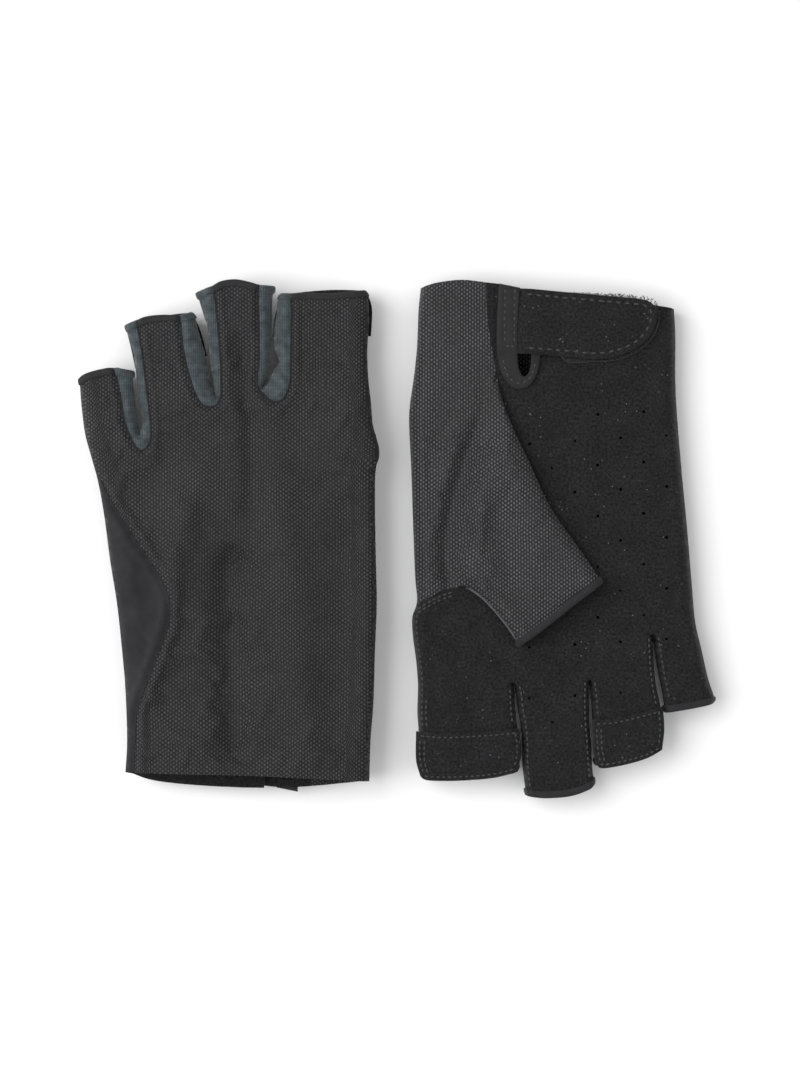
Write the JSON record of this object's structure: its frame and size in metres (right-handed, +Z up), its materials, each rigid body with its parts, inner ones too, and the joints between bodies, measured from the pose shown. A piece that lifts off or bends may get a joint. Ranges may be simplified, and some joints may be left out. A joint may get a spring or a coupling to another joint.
{
  "type": "sailing gloves",
  "caption": "Short-finger sailing gloves laid flat side by side, with stretch-knit backs, suede palms, flexing fingers, folded thumbs and hook-and-loop wrist straps.",
  "frame": {"origin": "middle of the pair, on the surface they lie on", "axes": "+X from the left glove to the right glove, +Y from the right glove's fingers to its cuff, +Z up"},
  "size_m": [0.224, 0.1816, 0.02],
  "materials": {
    "back_knit": "charcoal stretch knit with small raised dots",
    "palm_suede": "near-black fine synthetic suede with stitched seams",
    "gusset_knit": "smooth slate-grey stretch knit",
    "hem_tape": "dark folded hem band",
    "binding_tape": "black folded edge tape, stitched",
    "loop_pile": "black loop pile",
    "hook_pile": "black moulded hooks"
  },
  "bodies": {
    "left_hand": {"left_back_panel": "back_knit", "left_palm_panel": "palm_suede", "left_side_panel": "palm_suede", "left_crotch_gussets": "gusset_knit", "left_slit_binding": "binding_tape", "left_loop_pad": "loop_pile"},
    "left_index": {"left_index_back": "back_knit", "left_index_gusset": "gusset_knit", "left_index_hem": "hem_tape", "left_index_palm": "palm_suede", "left_index_puller": "palm_suede"},
    "left_middle": {"left_middle_back": "back_knit", "left_middle_gusset": "gusset_knit", "left_middle_hem": "hem_tape", "left_middle_palm": "palm_suede"},
    "left_ring": {"left_ring_back": "back_knit", "left_ring_gusset": "gusset_knit", "left_ring_hem": "hem_tape", "left_ring_palm": "palm_suede", "left_ring_puller": "palm_suede"},
    "left_little": {"left_little_back": "back_knit", "left_little_gusset": "gusset_knit", "left_little_hem": "hem_tape", "left_little_palm": "palm_suede"},
    "left_thumb": {"left_thumb_back": "back_knit", "left_thumb_hem": "hem_tape", "left_thumb_palm": "palm_suede"},
    "left_strap": {"left_strap_tab": "palm_suede", "left_hook_pad": "hook_pile"},
    "right_hand": {"right_back_panel": "back_knit", "right_palm_panel": "palm_suede", "right_side_panel": "palm_suede", "right_crotch_gussets": "gusset_knit", "right_slit_binding": "binding_tape", "right_loop_pad": "loop_pile"},
    "right_index": {"right_index_back": "back_knit", "right_index_gusset": "gusset_knit", "right_index_hem": "hem_tape", "right_index_palm": "palm_suede", "right_index_puller": "palm_suede"},
    "right_middle": {"right_middle_back": "back_knit", "right_middle_gusset": "gusset_knit", "right_middle_hem": "hem_tape", "right_middle_palm": "palm_suede"},
    "right_ring": {"right_ring_back": "back_knit", "right_ring_gusset": "gusset_knit", "right_ring_hem": "hem_tape", "right_ring_palm": "palm_suede", "right_ring_puller": "palm_suede"},
    "right_little": {"right_little_back": "back_knit", "right_little_gusset": "gusset_knit", "right_little_hem": "hem_tape", "right_little_palm": "palm_suede"},
    "right_thumb": {"right_thumb_back": "back_knit", "right_thumb_hem": "hem_tape", "right_thumb_palm": "palm_suede"},
    "right_strap": {"right_strap_tab": "palm_suede", "right_hook_pad": "hook_pile"}
  },
  "joints": [
    {"name": "left_index_flex", "type": "hinge", "parent": "left_hand", "child": "left_index", "pos_m": [-0.0248, 0.0503, 0.0079], "axis": [-1, 0, 0], "range_deg": [0, 75]},
    {"name": "left_middle_flex", "type": "hinge", "parent": "left_hand", "child": "left_middle", "pos_m": [-0.0546, 0.0503, 0.0079], "axis": [-1, 0, 0], "range_deg": [0, 75]},
    {"name": "left_ring_flex", "type": "hinge", "parent": "left_hand", "child": "left_ring", "pos_m": [-0.07935, 0.0488, 0.0079], "axis": [-1, 0, 0], "range_deg": [0, 75]},
    {"name": "left_little_flex", "type": "hinge", "parent": "left_hand", "child": "left_little", "pos_m": [-0.1001, 0.0333, 0.0079], "axis": [-1, 0, 0], "range_deg": [0, 75]},
    {"name": "left_thumb_unfold", "type": "hinge", "parent": "left_hand", "child": "left_thumb", "pos_m": [-0.0273, -0.01339, 0.007], "axis": [-0.1337, -0.991, 0], "range_deg": [0, 125]},
    {"name": "left_strap_open", "type": "hinge", "parent": "left_hand", "child": "left_strap", "pos_m": [-0.0422, -0.0739, 0.0048], "axis": [0, -1, 0], "range_deg": [0, 140]},
    {"name": "right_index_flex", "type": "hinge", "parent": "right_hand", "child": "right_index", "pos_m": [0.0248, -0.0503, 0.0121], "axis": [-1, 0, 0], "range_deg": [0, 75]},
    {"name": "right_middle_flex", "type": "hinge", "parent": "right_hand", "child": "right_middle", "pos_m": [0.0546, -0.0503, 0.0121], "axis": [-1, 0, 0], "range_deg": [0, 75]},
    {"name": "right_ring_flex", "type": "hinge", "parent": "right_hand", "child": "right_ring", "pos_m": [0.07935, -0.0488, 0.0121], "axis": [-1, 0, 0], "range_deg": [0, 75]},
    {"name": "right_little_flex", "type": "hinge", "parent": "right_hand", "child": "right_little", "pos_m": [0.1001, -0.0333, 0.0121], "axis": [-1, 0, 0], "range_deg": [0, 75]},
    {"name": "right_thumb_unfold", "type": "hinge", "parent": "right_hand", "child": "right_thumb", "pos_m": [0.0273, 0.01339, 0.013], "axis": [-0.1337, -0.991, 0], "range_deg": [0, 125]},
    {"name": "right_strap_open", "type": "hinge", "parent": "right_hand", "child": "right_strap", "pos_m": [0.0422, 0.0739, 0.0152], "axis": [0, -1, 0], "range_deg": [0, 140]},
    {"name": "right_glove_lift", "type": "slide", "parent": "left_hand", "child": "right_hand", "axis": [0, 0, 1], "range_m": [0, 0.06]}
  ]
}
